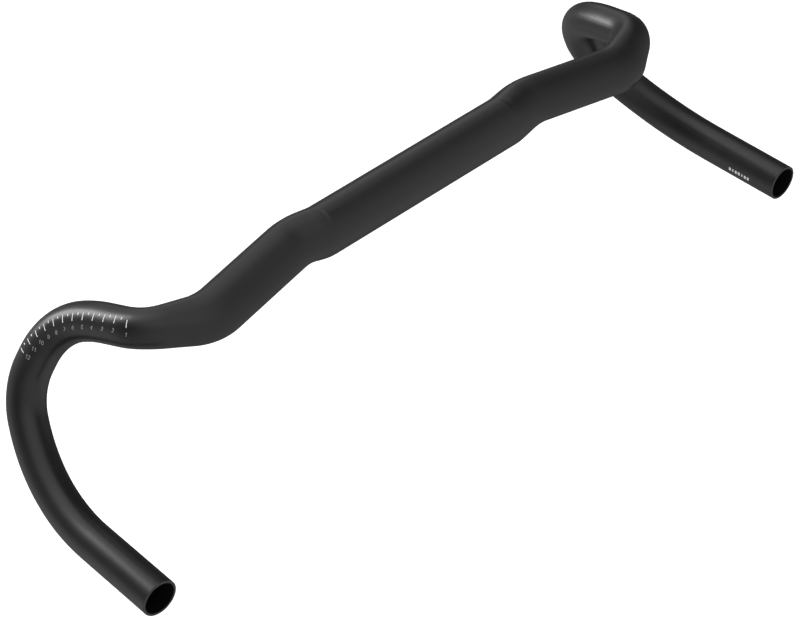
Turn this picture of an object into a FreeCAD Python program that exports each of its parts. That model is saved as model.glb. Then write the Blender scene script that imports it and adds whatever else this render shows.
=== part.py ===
import FreeCAD, Part
import math
import os
from FreeCAD import Placement, Rotation, Vector

# Drop handlebar, bonded from three moulded sections.
#
# Frame: origin at the centre of the stem clamp seat, +X to the rider's right, +Y forwards, +Z up, millimetres.
# The right half is built first. The left half is its mirror image in the plane X = 0.
# A place along the bar is its arc length s on the centre line, measured from the clamp's centre.

# ---- driving dimensions ----

# Corners of the right half's centre line before bending: (x, y, z, bend radius).
BEND_TABLE = (
    (0.0, 0.0, 0.0, 0.0),
    (77.5, 0.0, 0.0, 24.0),
    (96.5, 0.8, 3.8, 50.0),
    (172.5, -9.5, -3.5, 30.0),
    (206.5, 9.0, -3.5, 27.0),
    (212.5, 43.5, -13.5, 94.0),
    (220.0, 72.0, -27.5, 49.0),
    (242.5, 79.5, -69.5, 38.0),
    (267.0, 34.0, -110.0, 115.0),
    (270.5, -71.0, -113.5, 0.0),
)

CLAMP_RADIUS = 15.9
TOP_HALF_WIDTH = 15.7
TOP_HALF_HEIGHT = 10.4
TOP_TILT_DEG = 26.0
TAIL_RADIUS = 11.9
WALL = 1.7

CLAMP_TO_TOP_LENGTH = 27.0
TAPER_START = 168.0
TAPER_LENGTH = 46.0
LOFT_STEP = 0.7

JOINT_AT = 132.0
SLEEVE_HALF_LENGTH = 18.0
SLEEVE_WALL = 1.8
BOND_THICKNESS = 0.2

LINER_HALF_LENGTH = 45.0
LINER_WALL = 1.5

END_ROUND_OUTSIDE = 0.5
END_ROUND_INSIDE = 0.3

INK_THICKNESS = 0.1
SCALE_COUNT = 12
SCALE_START = 215.5
SCALE_PITCH = 8.15
SCALE_PLANE_POINT = Vector(224.0, 52.4, -13.0)
SCALE_PLANE_NORMAL = Vector(0.911, -0.087, 0.403)
TICK_LENGTH = 4.6
TICK_WIDTH = 0.5
HALF_TICK_LENGTH = 1.4
HALF_TICK_WIDTH = 0.6

NUMERAL_DROP = 8.5
NUMERAL_HEIGHT = 2.6
NUMERAL_WIDTH = 1.4
NUMERAL_STROKE = 0.3
NUMERAL_ADVANCE = 1.7
NUMERAL_FACING = Vector(0.96, 0.0, 0.28)

MARK_FROM_END = 27.0
MARK_FACING_DEG = 269.0
MARK_BAR_LENGTH = 2.4
MARK_PITCH = 2.5
MARK_BAR_WIDTHS = (1.6, 0.8, 1.6, 1.6, 0.8, 1.6, 1.6)

# Printed marks are blocks that pass through the tube's skin, kept only where the ink lies.
BAR_BLOCK_DEPTH = 2.0
NUMERAL_BLOCK_DEPTH = 5.0
MEASURING_STEP = 0.05

TOLERANCE = 1e-5

# Strokes of each numeral on a grid from -1 to 1 both ways, as runs of points.
NUMERAL_STROKES = {
    "0": [
        [(0, 1), (0.5, 1), (1, 0.5), (1, -0.5), (0.5, -1)],
        [(0.5, -1), (-0.5, -1), (-1, -0.5), (-1, 0.5), (-0.5, 1), (0, 1)],
    ],
    "1": [[(-0.7, 0.5), (0.1, 1), (0.1, -1)]],
    "2": [[(-1, 0.5), (-0.5, 1), (0.5, 1), (1, 0.5), (1, 0.1), (-1, -1), (1, -1)]],
    "3": [
        [(-1, 0.6), (-0.5, 1), (0.5, 1), (1, 0.6), (1, 0.3), (0.6, 0), (-0.2, 0)],
        [(0.6, 0), (1, -0.3), (1, -0.6), (0.5, -1), (-0.5, -1), (-1, -0.6)],
    ],
    "4": [[(0.5, -1), (0.5, 1), (-1, -0.4), (1, -0.4)]],
    "5": [
        [(0.9, 1), (-0.8, 1), (-0.9, 0.1), (0.5, 0.1)],
        [(0.5, 0.1), (1, -0.3), (1, -0.6), (0.5, -1), (-0.5, -1), (-1, -0.7)],
    ],
    "6": [
        [(0.9, 0.7), (0.5, 1), (-0.5, 1), (-1, 0.5), (-1, -0.6), (-0.5, -1), (0.5, -1), (1, -0.6)],
        [(1, -0.6), (1, -0.3), (0.5, 0.1), (-0.5, 0.1), (-1, -0.2)],
    ],
    "7": [[(-1, 1), (1, 1), (-0.2, -1)]],
    "8": [
        [(-0.5, 0), (-1, 0.4), (-1, 0.7), (-0.5, 1), (0.5, 1), (1, 0.7), (1, 0.4), (0.5, 0), (-0.5, 0)],
        [(-0.5, 0), (-1, -0.4), (-1, -0.6), (-0.5, -1), (0.5, -1), (1, -0.6), (1, -0.4), (0.5, 0)],
    ],
    "9": [
        [(-0.9, -0.7), (-0.5, -1), (0.5, -1), (1, -0.5), (1, 0.6), (0.5, 1), (-0.5, 1), (-1, 0.6)],
        [(-1, 0.6), (-1, 0.3), (-0.5, -0.1), (0.5, -0.1), (1, 0.2)],
    ],
}


# ---- centre line ----


def turned(vector, axis, degrees):
    """The vector turned about an axis through the origin."""
    return Rotation(axis, degrees).multVec(vector)


class Run:
    """A straight stretch of the centre line."""

    def __init__(self, start_s, point, tangent, up, length):
        self.start_s = start_s
        self.point = point
        self.tangent = tangent
        self.up = up
        self.length = length

    def frame(self, s):
        return self.point + self.tangent * (s - self.start_s), self.tangent, self.up


class Bend:
    """A circular stretch of the centre line, tangent to its neighbours."""

    def __init__(self, start_s, point, tangent, up, centre, axis, radius, degrees):
        self.start_s = start_s
        self.point = point
        self.tangent = tangent
        self.up = up
        self.centre = centre
        self.axis = axis
        self.radius = radius
        self.length = radius * math.radians(degrees)

    def degrees(self, length):
        return math.degrees(length / self.radius)

    def frame(self, s):
        turn = self.degrees(s - self.start_s)
        point = self.centre + turned(self.point - self.centre, self.axis, turn)
        return point, turned(self.tangent, self.axis, turn), turned(self.up, self.axis, turn)


def centre_line(bend_table):
    """Straight runs and tangent bends through the corners, with a section direction that never twists."""
    corners = [Vector(x, y, z) for x, y, z, radius in bend_table]
    tilt = math.radians(TOP_TILT_DEG)
    up = Vector(0, -math.sin(tilt), math.cos(tilt))
    point = corners[0]
    stretches = []
    s = 0.0
    for i in range(1, len(corners) - 1):
        before = (corners[i] - corners[i - 1]).normalize()
        after = (corners[i + 1] - corners[i]).normalize()
        degrees = math.degrees(before.getAngle(after))
        radius = bend_table[i][3]
        setback = radius * math.tan(math.radians(degrees) / 2)
        bend_start = corners[i] - before * setback
        run = Run(s, point, before, up, (bend_start - point).dot(before))
        stretches.append(run)
        s += run.length
        axis = before.cross(after).normalize()
        centre = bend_start + axis.cross(before) * radius
        bend = Bend(s, bend_start, before, up, centre, axis, radius, degrees)
        stretches.append(bend)
        s += bend.length
        point, tangent, up = bend.frame(s)
    stretches.append(Run(s, point, after, up, (corners[-1] - point).dot(after)))
    return stretches


LINE = centre_line(BEND_TABLE)
LINE_END = LINE[-1].start_s + LINE[-1].length
# The clamp seat ends where the first bend starts.
CLAMP_HALF_LENGTH = LINE[0].length
TAPER_END = TAPER_START + TAPER_LENGTH


def stretch_at(s):
    """The run or bend that holds this place on the centre line."""
    holding = [stretch for stretch in LINE if stretch.start_s <= s + TOLERANCE]
    return holding[-1]


def frame_at(s):
    """Point, tangent, forward and upward directions of the section at s."""
    point, tangent, up = stretch_at(s).frame(s)
    return point, tangent, up.cross(tangent), up


def placement_at(s):
    """Takes a section drawn in the XY plane to its place on the bar."""
    point, tangent, forward, up = frame_at(s)
    return Placement(point, Rotation(forward, up, tangent, "ZXY"))


# ---- sections ----


def ease(t):
    """Rises smoothly from 0 to 1 as t does."""
    t = min(max(t, 0.0), 1.0)
    return t * t * (3 - 2 * t)


def half_axes(s):
    """Half the bar's outside width and height at s: round at the clamp, oval on the tops, round again after them."""
    to_top = ease((s - CLAMP_HALF_LENGTH) / CLAMP_TO_TOP_LENGTH)
    to_tail = ease((s - TAPER_START) / TAPER_LENGTH)
    width = CLAMP_RADIUS + (TOP_HALF_WIDTH - CLAMP_RADIUS) * to_top
    height = CLAMP_RADIUS + (TOP_HALF_HEIGHT - CLAMP_RADIUS) * to_top
    return width + (TAIL_RADIUS - width) * to_tail, height + (TAIL_RADIUS - height) * to_tail


def section(s, inset):
    """The closed outline of the bar at s, inset from its outside."""
    width, height = half_axes(s)
    if width - height < TOLERANCE:
        curve = Part.Circle(Vector(), Vector(0, 0, 1), width - inset)
    else:
        curve = Part.Ellipse(Vector(), width - inset, height - inset)
    edge = curve.toShape()
    edge.Placement = placement_at(s)
    return Part.Wire([edge])


def lofted(start, end, inset):
    """The bar between two places where its section changes, as one smooth surface over runs and bends alike."""
    steps = math.ceil((end - start) / LOFT_STEP)
    places = [start + (end - start) * i / steps for i in range(steps + 1)]
    return Part.makeLoft([section(s, inset) for s in places], True)


def swept(start, end, inset):
    """The bar between two places on one stretch, where its section stays the same."""
    stretch = stretch_at(start)
    face = Part.Face(section(start, inset))
    if isinstance(stretch, Run):
        return face.extrude(stretch.tangent * (end - start))
    return face.revolve(stretch.centre, stretch.axis, stretch.degrees(end - start))


def section_changes(s):
    in_step = CLAMP_HALF_LENGTH < s < CLAMP_HALF_LENGTH + CLAMP_TO_TOP_LENGTH
    return in_step or TAPER_START < s < TAPER_END


def bar_between(start, end, inset):
    """The solid bar from start to end along the centre line, inset from its outside."""
    breaks = [stretch.start_s for stretch in LINE if not section_changes(stretch.start_s)]
    breaks += [CLAMP_HALF_LENGTH, CLAMP_HALF_LENGTH + CLAMP_TO_TOP_LENGTH, TAPER_START, TAPER_END]
    places = sorted([start, end] + [s for s in breaks if start + TOLERANCE < s < end - TOLERANCE])
    solids = []
    for low, high in zip(places, places[1:]):
        make = lofted if section_changes((low + high) / 2) else swept
        solids.append(make(low, high, inset))
    if len(solids) == 1:
        return solids[0]
    return solids[0].multiFuse(solids[1:])


def hollow_bar(start, end, outer_inset, inner_inset):
    """A tube that follows the bar from start to end."""
    return bar_between(start, end, outer_inset).cut(bar_between(start, end, inner_inset))


def mirrored(shape):
    return shape.mirror(Vector(), Vector(1, 0, 0))


# ---- tubes and what is inside them ----


def centre_beam():
    """Middle section: round clamp seat with a step and half an oval top on each side."""
    clamp = Part.makeCylinder(
        CLAMP_RADIUS, 2 * CLAMP_HALF_LENGTH, Vector(-CLAMP_HALF_LENGTH, 0, 0), Vector(1, 0, 0)
    )
    bore = Part.makeCylinder(
        CLAMP_RADIUS - WALL, 2 * CLAMP_HALF_LENGTH, Vector(-CLAMP_HALF_LENGTH, 0, 0), Vector(1, 0, 0)
    )
    arm = hollow_bar(CLAMP_HALF_LENGTH, JOINT_AT, 0, WALL)
    return clamp.cut(bore).multiFuse([arm, mirrored(arm)])


def end_edge(shape, radius):
    """The round edge of this radius on the tail's end face."""
    end_point = frame_at(LINE_END)[0]
    for edge in shape.Edges:
        curve = edge.Curve
        if isinstance(curve, Part.Circle) and abs(curve.Radius - radius) < TOLERANCE:
            if curve.Center.distanceToPoint(end_point) < TOLERANCE:
                return edge
    raise ValueError("the tail has no end edge of that radius")


def right_drop():
    """Outer half of the top, corner, ramp, hook and tail, with the tail's end rounded over."""
    drop = hollow_bar(JOINT_AT, LINE_END, 0, WALL)
    drop = drop.makeFillet(END_ROUND_OUTSIDE, [end_edge(drop, TAIL_RADIUS)])
    return drop.makeFillet(END_ROUND_INSIDE, [end_edge(drop, TAIL_RADIUS - WALL)])


def joint_sleeve():
    """Oval spigot inside the top, which carries the bonded joint and keys the drop against turning."""
    outer = WALL + BOND_THICKNESS
    return hollow_bar(
        JOINT_AT - SLEEVE_HALF_LENGTH, JOINT_AT + SLEEVE_HALF_LENGTH, outer, outer + SLEEVE_WALL
    )


def bond_film():
    """Cured adhesive between the joint sleeve and the two sections."""
    return hollow_bar(
        JOINT_AT - SLEEVE_HALF_LENGTH, JOINT_AT + SLEEVE_HALF_LENGTH, WALL, WALL + BOND_THICKNESS
    )


def clamp_liner():
    """Reinforcing sleeve inside the clamp seat."""
    start = Vector(-LINER_HALF_LENGTH, 0, 0)
    outer_radius = CLAMP_RADIUS - WALL
    outer = Part.makeCylinder(outer_radius, 2 * LINER_HALF_LENGTH, start, Vector(1, 0, 0))
    inner = Part.makeCylinder(outer_radius - LINER_WALL, 2 * LINER_HALF_LENGTH, start, Vector(1, 0, 0))
    return outer.cut(inner)


# ---- printed marks ----


def skin(s, degrees):
    """Point, tangent, outward and round-the-tube directions on the outside of the bar.

    Angles are measured from the section's forward direction towards its upward one.
    """
    point, tangent, forward, up = frame_at(s)
    angle = math.radians(degrees)
    width, height = half_axes(s)
    outside = point + forward * (width * math.cos(angle)) + up * (height * math.sin(angle))
    outward = forward * math.cos(angle) + up * math.sin(angle)
    around = up * math.cos(angle) - forward * math.sin(angle)
    return outside, tangent, outward, around


def scale_line_angle(s):
    """Where the plane of the scale's upper edge meets the outboard side of the tube at s."""
    point, tangent, forward, up = frame_at(s)
    along_forward = forward.dot(SCALE_PLANE_NORMAL)
    along_up = up.dot(SCALE_PLANE_NORMAL)
    reach = (SCALE_PLANE_POINT - point).dot(SCALE_PLANE_NORMAL)
    facing = math.atan2(along_up, along_forward)
    return math.degrees(facing - math.acos(reach / (TAIL_RADIUS * math.hypot(along_forward, along_up))))


def scale_places(count, pitch):
    """Places along the bar that are one pitch apart on the scale's upper edge."""
    s = SCALE_START
    last = skin(s, scale_line_angle(s))[0]
    places = [s]
    travelled = 0.0
    while len(places) < count:
        s += MEASURING_STEP
        point = skin(s, scale_line_angle(s))[0]
        travelled += point.distanceToPoint(last)
        last = point
        if travelled >= pitch * len(places):
            places.append(s)
    return places


def ink_bar(s, degrees, width, length):
    """Block through the tube's skin, width along the bar and length round it, centred at s and degrees."""
    outside, tangent, outward, around = skin(s, degrees)
    corner = Vector(-width / 2, -length / 2, -BAR_BLOCK_DEPTH / 2)
    block = Part.makeBox(width, length, BAR_BLOCK_DEPTH, corner)
    block.Placement = Placement(outside, Rotation(tangent, around, tangent.cross(around), "XYZ"))
    return block


def stroke(start, end):
    """A round-ended stroke of a numeral, standing through the tube's skin."""
    half = NUMERAL_STROKE / 2
    along = (end - start).normalize() * half
    side = Vector(-along.y, along.x, 0)
    edges = [
        Part.LineSegment(start + side, end + side).toShape(),
        Part.Arc(end + side, end + along, end - side).toShape(),
        Part.LineSegment(end - side, start - side).toShape(),
        Part.Arc(start - side, start - along, start + side).toShape(),
    ]
    outline = Part.Wire(edges)
    outline.translate(Vector(0, 0, -NUMERAL_BLOCK_DEPTH / 2))
    return Part.Face(outline).extrude(Vector(0, 0, NUMERAL_BLOCK_DEPTH))


def numeral(digit, left_to_right, offset):
    """One numeral as a solid standing on the XY plane. left_to_right is -1 for a piece that is mirrored later."""
    across = (NUMERAL_WIDTH - NUMERAL_STROKE) / 2
    upward = (NUMERAL_HEIGHT - NUMERAL_STROKE) / 2
    solids = []
    for run in NUMERAL_STROKES[digit]:
        points = [Vector(left_to_right * (offset + x * across), y * upward, 0) for x, y in run]
        solids += [stroke(a, b) for a, b in zip(points, points[1:])]
    return solids[0].multiFuse(solids[1:]).removeSplitter()


def numeral_blocks(number, s, left_to_right):
    """Every numeral of a number, upright and level, at its place below the scale's upper edge."""
    round_angle = math.degrees(NUMERAL_DROP / TAIL_RADIUS)
    outside = skin(s, scale_line_angle(s) + round_angle)[0]
    outward = Vector(NUMERAL_FACING).normalize()
    level = Vector(0, 0, 1).cross(outward).normalize()
    place = Placement(outside, Rotation(level, outward.cross(level), outward, "ZXY"))
    digits = str(number)
    blocks = []
    for i, digit in enumerate(digits):
        offset = (i - (len(digits) - 1) / 2) * NUMERAL_ADVANCE
        block = numeral(digit, left_to_right, offset)
        block.Placement = place.multiply(block.Placement)
        blocks.append(block)
    return blocks


def printed(blocks, coat):
    """The part of each block that lies in the coat of ink, as one group of solids."""
    return Part.makeCompound([solid for block in blocks for solid in coat.common(block).Solids])


def scale_ticks(coat):
    half_angle = math.degrees(TICK_LENGTH / 2 / TAIL_RADIUS)
    blocks = [
        ink_bar(s, scale_line_angle(s) + half_angle, TICK_WIDTH, TICK_LENGTH)
        for s in scale_places(SCALE_COUNT, SCALE_PITCH)
    ]
    return printed(blocks, coat)


def scale_half_ticks(coat):
    half_angle = math.degrees(HALF_TICK_LENGTH / 2 / TAIL_RADIUS)
    places = scale_places(2 * SCALE_COUNT - 1, SCALE_PITCH / 2)[1::2]
    blocks = [
        ink_bar(s, scale_line_angle(s) + half_angle, HALF_TICK_WIDTH, HALF_TICK_LENGTH) for s in places
    ]
    return printed(blocks, coat)


def scale_numerals(coat, left_to_right):
    blocks = []
    for i, s in enumerate(scale_places(SCALE_COUNT, SCALE_PITCH)):
        blocks += numeral_blocks(i + 1, s, left_to_right)
    return printed(blocks, coat)


def batch_mark(coat):
    """A row of plain bars on the inboard side of the tail."""
    first = LINE_END - MARK_FROM_END - (len(MARK_BAR_WIDTHS) - 1) / 2 * MARK_PITCH
    blocks = [
        ink_bar(first + i * MARK_PITCH, MARK_FACING_DEG, width, MARK_BAR_LENGTH)
        for i, width in enumerate(MARK_BAR_WIDTHS)
    ]
    return printed(blocks, coat)


# ---- every piece, one file each ----


def build():
    drop = right_drop()
    sleeve = joint_sleeve()
    film = bond_film()
    scale_coat = hollow_bar(TAPER_END, SCALE_START + (SCALE_COUNT + 1) * SCALE_PITCH, -INK_THICKNESS, 0)
    tail_coat = hollow_bar(LINE_END - 2 * MARK_FROM_END, LINE_END, -INK_THICKNESS, 0)
    ticks = scale_ticks(scale_coat)
    half_ticks = scale_half_ticks(scale_coat)
    return {
        "centre_beam": centre_beam(),
        "clamp_liner": clamp_liner(),
        "right_drop": drop,
        "left_drop": mirrored(drop),
        "right_joint_sleeve": sleeve,
        "left_joint_sleeve": mirrored(sleeve),
        "right_bond_film": film,
        "left_bond_film": mirrored(film),
        "right_scale_ticks": ticks,
        "left_scale_ticks": mirrored(ticks),
        "right_scale_half_ticks": half_ticks,
        "left_scale_half_ticks": mirrored(half_ticks),
        "right_scale_numerals": scale_numerals(scale_coat, 1),
        "left_scale_numerals": mirrored(scale_numerals(scale_coat, -1)),
        "batch_mark": batch_mark(tail_coat),
    }


os.makedirs("parts", exist_ok=True)
for name, shape in build().items():
    shape.exportStep("parts/" + name + ".step")
    print(name, len(shape.Solids), "solids", round(shape.Volume, 2), "mm3", "valid", shape.isValid())
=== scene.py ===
import math

import bpy
from mathutils import Matrix, Vector


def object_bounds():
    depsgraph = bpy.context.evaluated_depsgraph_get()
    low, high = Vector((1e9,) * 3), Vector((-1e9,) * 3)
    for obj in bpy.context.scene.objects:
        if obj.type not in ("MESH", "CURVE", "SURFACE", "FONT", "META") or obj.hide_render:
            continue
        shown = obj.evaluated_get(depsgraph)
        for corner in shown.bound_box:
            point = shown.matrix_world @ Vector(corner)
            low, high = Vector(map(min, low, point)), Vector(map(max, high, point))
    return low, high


# Looks of the drop handlebar: satin black lacquer outside, bare laminate inside, white printed marks.
# Metres throughout, in the part's own frame: +X to the rider's right, +Y forwards, +Z up.

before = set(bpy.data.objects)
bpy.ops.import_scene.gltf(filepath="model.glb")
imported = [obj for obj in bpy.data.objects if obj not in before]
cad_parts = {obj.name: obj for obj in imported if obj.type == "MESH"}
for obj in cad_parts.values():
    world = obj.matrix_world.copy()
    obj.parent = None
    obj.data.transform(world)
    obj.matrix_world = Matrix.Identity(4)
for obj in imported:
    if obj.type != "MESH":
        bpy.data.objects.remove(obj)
cad_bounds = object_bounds()
MM = 0.001

# The straight run of the right tail: its open end, its direction, its length, a radius inside its wall,
# and how deep the cut end's face and rounded edges reach.
TAIL_END = Vector((270.5, -71.0, -113.5)) * MM
TAIL_DIRECTION = Vector((3.5, -105.0, -3.5)).normalized()
TAIL_RUN = 58 * MM
TAIL_MID_WALL = 11.05 * MM
CUT_END_DEPTH = 0.35 * MM

# ---- camera ----

# Angles in radians, shifts and distance in metres, lens and sensor in millimetres.
CAMERA_AZIMUTH = math.radians(-44.64)
CAMERA_ELEVATION = math.radians(40.01)
CAMERA_DISTANCE = 1.7865
CAMERA_SIDEWAYS = -0.00848
CAMERA_UPWARDS = -0.07949
CAMERA_LENS = 134.93
CAMERA_SENSOR = 36.0

# ---- stage and light ----

FLOOR_DROP = 0.30
FLOOR_RADIUS = 12.0
FLOOR_RINGS = 24
FLOOR_SPOKES = 96
FLOOR_SHADE = 0.9
FLOOR_GLOW = 0.35
BACKDROP = 1.0
WHITE = (1, 1, 1, 1)

# Softbox: azimuth and elevation in degrees, distance, width and height in metres, and radiance.
KEY_LIGHT = (-161.0, 25.0, 4.0, 1.35, 3.35, 8.8)

# Soft reflectors that the lacquer mirrors: azimuth, elevation and spread in degrees, and radiance.
TENT_GLOW = 0.09
REFLECTORS = {
    "overhead": (175.0, 50.0, 48.0, 0.99),
    "top": (-79.0, 81.0, 49.0, 0.66),
    "rear": (-2.0, -3.0, 112.0, 0.73),
    "low_front": (-147.0, -28.0, 77.0, 0.29),
    "low_left": (-126.0, -28.0, 34.0, 0.37),
    "front_right": (143.0, 14.0, 13.0, 0.75),
}

# ---- finishes ----

# Where a noise's dark patches end and its light patches begin, on its scale from 0 to 1.
NOISE_DARK = 0.3
NOISE_LIGHT = 0.7
FIBRE_DARK = 0.35
FIBRE_LIGHT = 0.65
INK_THIN = 0.30
INK_FULL = 0.55

# The dark and the light shade of each finish, in linear red, green and blue.
LACQUER = ((0.0040, 0.0040, 0.0044), (0.0060, 0.0060, 0.0064))
CUT_LAMINATE = ((0.025, 0.025, 0.026), (0.050, 0.050, 0.052))
MOULDED_LAMINATE = ((0.010, 0.010, 0.011), (0.030, 0.030, 0.032))
EPOXY = ((0.30, 0.22, 0.10), (0.42, 0.33, 0.18))

LACQUER_IOR = 1.5
LACQUER_SPECULAR = 0.5
BORE_SPECULAR = 0.05
BARE_ROUGHNESS = 0.9

# The Mix node's sockets for each kind of value: first input, second input, result.
MIX_SOCKETS = {"FLOAT": (2, 3, 0), "RGBA": (6, 7, 2)}


def direction(azimuth, elevation):
    """Unit vector from the bar towards a place round it. Azimuth 0 is behind the bar, at -Y."""
    return Vector((
        math.sin(azimuth) * math.cos(elevation),
        -math.cos(azimuth) * math.cos(elevation),
        math.sin(elevation),
    ))


def aimed(location, back):
    """Matrix of a camera or light at location whose -Z looks along -back, with +Y as near up as can be."""
    right = Vector((0, 0, 1)).cross(back).normalized()
    rotation = Matrix((right, back.cross(right), back)).transposed()
    return Matrix.Translation(location) @ rotation.to_4x4()


def link(thing):
    """Puts a new object into the scene."""
    bpy.context.scene.collection.objects.link(thing)
    return thing


def make_camera():
    data = bpy.data.cameras.new("camera")
    data.lens = CAMERA_LENS
    data.sensor_width = CAMERA_SENSOR
    back = direction(CAMERA_AZIMUTH, CAMERA_ELEVATION)
    right = Vector((0, 0, 1)).cross(back).normalized()
    up = back.cross(right)
    location = back * CAMERA_DISTANCE + right * CAMERA_SIDEWAYS + up * CAMERA_UPWARDS
    camera = link(bpy.data.objects.new("camera", data))
    camera.matrix_world = aimed(location, back)
    bpy.context.scene.camera = camera


def make_softbox(name, azimuth, elevation, distance, width, height, radiance):
    """A rectangular light that faces the bar and that the camera doesn't see."""
    data = bpy.data.lights.new(name, "AREA")
    data.shape = "RECTANGLE"
    data.size = width
    data.size_y = height
    data.energy = radiance * math.pi * width * height
    back = direction(math.radians(azimuth), math.radians(elevation))
    light = link(bpy.data.objects.new(name, data))
    light.matrix_world = aimed(back * distance, back)
    light.visible_camera = False


# ---- node helper ----


class Nodes:
    """A material's or world's node tree, with a short call for each kind of node that the looks use."""

    def __init__(self, owner, shader, place):
        owner.use_nodes = True
        self.tree = owner.node_tree
        self.shader = self.tree.nodes[shader]
        self.place = self.add("ShaderNodeTexCoord").outputs[place]

    def add(self, kind, **settings):
        node = self.tree.nodes.new(kind)
        for name, value in settings.items():
            setattr(node, name, value)
        return node

    def feed(self, socket, value):
        """Links another node's output to the socket, or sets the socket to a constant."""
        if isinstance(value, bpy.types.NodeSocket):
            self.tree.links.new(value, socket)
        else:
            socket.default_value = value

    def set(self, **inputs):
        """Sets or links the shader's own sockets, named with _ for a space."""
        for name, value in inputs.items():
            self.feed(self.shader.inputs[name.replace("_", " ")], value)

    def math(self, operation, *values):
        node = self.add("ShaderNodeMath", operation=operation)
        for socket, value in zip(node.inputs, values):
            self.feed(socket, value)
        return node.outputs[0]

    def vector(self, operation, first, second):
        node = self.add("ShaderNodeVectorMath", operation=operation)
        self.feed(node.inputs[0], first)
        self.feed(node.inputs[1], second)
        return node.outputs["Value" if operation in ("DOT_PRODUCT", "LENGTH") else "Vector"]

    def tail_masks(self):
        """Two masks of either tail's straight run: 1 inside its bore, and 1 on its cut end."""
        apart = self.add("ShaderNodeSeparateXYZ")
        self.feed(apart.inputs[0], self.place)
        right_side = self.add("ShaderNodeCombineXYZ")
        self.feed(right_side.inputs["X"], self.math("ABSOLUTE", apart.outputs["X"]))
        self.feed(right_side.inputs["Y"], apart.outputs["Y"])
        self.feed(right_side.inputs["Z"], apart.outputs["Z"])
        from_end = self.vector("SUBTRACT", right_side.outputs[0], TAIL_END)
        off_axis = self.vector("LENGTH", self.vector("CROSS_PRODUCT", from_end, TAIL_DIRECTION), Vector())
        along = self.vector("DOT_PRODUCT", from_end, TAIL_DIRECTION)
        within = self.math("LESS_THAN", off_axis, TAIL_MID_WALL)
        bore = self.math("MULTIPLY", within, self.math("GREATER_THAN", along, -TAIL_RUN))
        return bore, self.smooth(along, -CUT_END_DEPTH, -CUT_END_DEPTH / 2)

    def noise(self, size, detail, roughness=0.5):
        """Noise from 0 to 1 whose blobs are about this size in metres."""
        node = self.add("ShaderNodeTexNoise")
        self.feed(node.inputs["Vector"], self.place)
        node.inputs["Scale"].default_value = 1 / size
        node.inputs["Detail"].default_value = detail
        node.inputs["Roughness"].default_value = roughness
        return node.outputs["Fac"]

    def vary(self, noise, dark, light):
        """A number that goes from one value to the other between a noise's dark and light patches."""
        node = self.add("ShaderNodeMapRange")
        for socket, number in zip(node.inputs, (noise, NOISE_DARK, NOISE_LIGHT, dark, light)):
            self.feed(socket, number)
        return node.outputs[0]

    def smooth(self, value, low, high):
        """0 below low and 1 above high, with a smooth rise between."""
        node = self.add("ShaderNodeMapRange", interpolation_type="SMOOTHSTEP")
        for socket, number in zip(node.inputs, (value, low, high)):
            self.feed(socket, number)
        return node.outputs[0]

    def mix(self, factor, first, second, kind="FLOAT"):
        """The first value where the factor is 0 and the second where it is 1."""
        node = self.add("ShaderNodeMix", data_type=kind)
        first_input, second_input, result = MIX_SOCKETS[kind]
        self.feed(node.inputs[0], factor)
        self.feed(node.inputs[first_input], first)
        self.feed(node.inputs[second_input], second)
        return node.outputs[result]

    def shades(self, noise, colours, dark_until=NOISE_DARK, light_from=NOISE_LIGHT):
        """Colour that wanders with a noise between a dark and a light one."""
        node = self.add("ShaderNodeValToRGB")
        self.feed(node.inputs[0], noise)
        for element, place, colour in zip(node.color_ramp.elements, (dark_until, light_from), colours):
            element.position = place
            element.color = (*colour, 1)
        return node.outputs["Color"]

    def bump(self, height, depth, onto=None):
        """Normal bumped by a height from 0 to 1 over this depth in metres, onto an earlier bump if given."""
        node = self.add("ShaderNodeBump")
        node.inputs["Distance"].default_value = depth
        self.feed(node.inputs["Height"], height)
        if onto is not None:
            self.feed(node.inputs["Normal"], onto)
        return node.outputs["Normal"]


def new_material(name):
    material = bpy.data.materials.new(name)
    return material, Nodes(material, "Principled BSDF", "Object")


# ---- surroundings ----


def make_world():
    """A soft tent: what the lacquer mirrors is the reflectors, and the camera sees an even pale backdrop."""
    world = bpy.data.worlds.new("studio")
    nodes = Nodes(world, "Background", "Generated")
    glow = TENT_GLOW
    for azimuth, elevation, spread, radiance in REFLECTORS.values():
        towards = direction(math.radians(azimuth), math.radians(elevation))
        facing = nodes.vector("DOT_PRODUCT", nodes.place, towards)
        share = nodes.smooth(facing, math.cos(math.radians(spread)), 1.0)
        glow = nodes.math("MULTIPLY_ADD", share, radiance, glow)
    seen = nodes.add("ShaderNodeLightPath").outputs["Is Camera Ray"]
    nodes.set(Color=WHITE, Strength=nodes.mix(seen, glow, BACKDROP))
    bpy.context.scene.world = world


# ---- materials ----


def satin_black_lacquer():
    """Satin lacquer with a fine spray texture outside. Each tail's bore and cut end are bare laminate."""
    material, nodes = new_material("satin_black_lacquer")
    spray = nodes.noise(1.1 * MM, detail=2.0)
    grit = nodes.noise(0.25 * MM, detail=1.0)
    flow = nodes.noise(45 * MM, detail=3.0)
    handling = nodes.noise(9 * MM, detail=4.0, roughness=0.6)
    outside = nodes.shades(flow, LACQUER)
    cut_face = nodes.shades(grit, CUT_LAMINATE)
    gloss = nodes.vary(handling, 0.32, 0.36)
    bore, cut_end = nodes.tail_masks()
    nodes.set(
        Base_Color=nodes.mix(cut_end, outside, cut_face, kind="RGBA"),
        Roughness=nodes.mix(nodes.math("MAXIMUM", bore, cut_end), gloss, BARE_ROUGHNESS),
        Specular_IOR_Level=nodes.mix(bore, LACQUER_SPECULAR, BORE_SPECULAR),
        IOR=LACQUER_IOR,
        Normal=nodes.bump(grit, 0.002 * MM, onto=nodes.bump(spray, 0.006 * MM)),
    )
    return material


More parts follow.
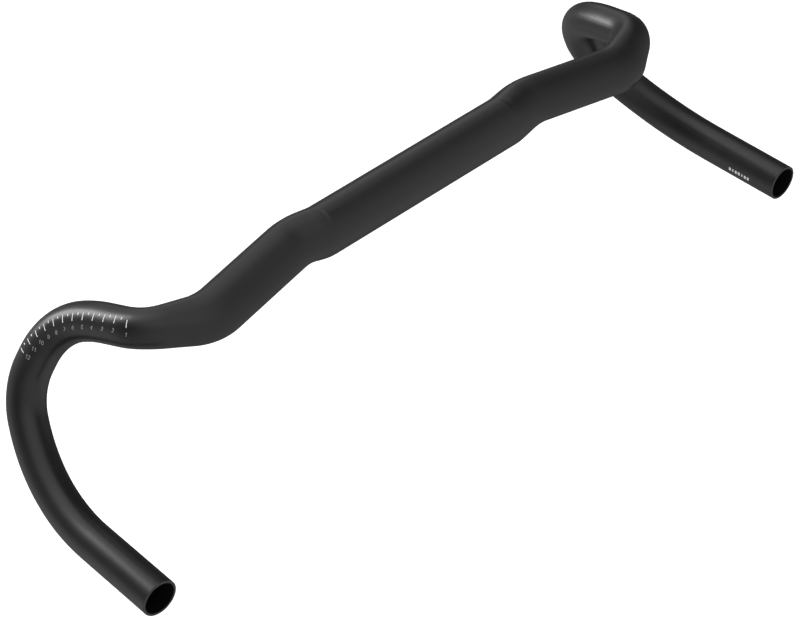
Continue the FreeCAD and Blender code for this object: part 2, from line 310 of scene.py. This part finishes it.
def bare_laminate():
    """Rough moulded carbon laminate, for the pieces inside the tubes."""
    material, nodes = new_material("bare_laminate")
    fibre = nodes.noise(0.6 * MM, detail=3.0)
    nodes.set(
        Base_Color=nodes.shades(fibre, MOULDED_LAMINATE, FIBRE_DARK, FIBRE_LIGHT),
        Roughness=nodes.vary(fibre, 0.5, 0.7),
        Normal=nodes.bump(fibre, 0.03 * MM),
    )
    return material


def epoxy_film():
    """Cured adhesive, amber and slightly cloudy."""
    material, nodes = new_material("epoxy_film")
    cloud = nodes.noise(1.5 * MM, detail=3.0)
    nodes.set(
        Base_Color=nodes.shades(cloud, EPOXY),
        Roughness=nodes.vary(cloud, 0.25, 0.4),
        Normal=nodes.bump(cloud, 0.02 * MM),
    )
    return material


def white_ink(name, thin, full):
    """Pad-printed ink, a little uneven where the pad laid it thinly. Thin and full are how white it is."""
    material, nodes = new_material(name)
    cover = nodes.noise(0.35 * MM, detail=3.0, roughness=0.6)
    greys = ((thin, thin, thin), (full, full, full))
    nodes.set(
        Base_Color=nodes.shades(cover, greys, INK_THIN, INK_FULL),
        Roughness=nodes.vary(cover, 0.45, 0.6),
        Normal=nodes.bump(cover, 0.01 * MM),
    )
    return material


def dress(material, *names):
    """Gives CAD nodes their material."""
    for name in names:
        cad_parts[name].material_slots[0].material = material


def both(name):
    return ["right_" + name, "left_" + name]


# ---- floor ----


def make_floor():
    """Round pale floor below the bar, with rings that widen outwards."""
    low = cad_bounds[0].z - FLOOR_DROP
    verts = [(0.0, 0.0, low)]
    for ring in range(1, FLOOR_RINGS + 1):
        radius = FLOOR_RADIUS * (ring / FLOOR_RINGS) ** 2
        for spoke in range(FLOOR_SPOKES):
            turn = 2 * math.pi * spoke / FLOOR_SPOKES
            verts.append((radius * math.cos(turn), radius * math.sin(turn), low))
    faces = [(0, 1 + spoke, 1 + (spoke + 1) % FLOOR_SPOKES) for spoke in range(FLOOR_SPOKES)]
    for ring in range(FLOOR_RINGS - 1):
        inner = 1 + ring * FLOOR_SPOKES
        for spoke in range(FLOOR_SPOKES):
            after = (spoke + 1) % FLOOR_SPOKES
            outer = inner + FLOOR_SPOKES
            faces.append((inner + spoke, outer + spoke, outer + after, inner + after))
    mesh = bpy.data.meshes.new("floor")
    mesh.from_pydata(verts, [], faces)
    material, nodes = new_material("pale_floor")
    nodes.set(
        Base_Color=(FLOOR_SHADE, FLOOR_SHADE, FLOOR_SHADE, 1),
        Roughness=0.9,
        Specular_IOR_Level=0.0,
        Emission_Color=WHITE,
        Emission_Strength=FLOOR_GLOW,
    )
    mesh.materials.append(material)
    floor = link(bpy.data.objects.new("floor", mesh))
    floor.visible_glossy = False


make_camera()
make_world()
make_softbox("key", *KEY_LIGHT)
make_floor()

dress(satin_black_lacquer(), "centre_beam", *both("drop"))
dress(bare_laminate(), "clamp_liner", *both("joint_sleeve"))
dress(epoxy_film(), *both("bond_film"))
dress(white_ink("white_ink", 0.55, 0.80), *both("scale_ticks"), *both("scale_half_ticks"))
dress(white_ink("faint_white_ink", 0.14, 0.28), *both("scale_numerals"))
dress(white_ink("thin_white_ink", 0.35, 0.55), "batch_mark")

bpy.context.scene.view_settings.view_transform = "Standard"
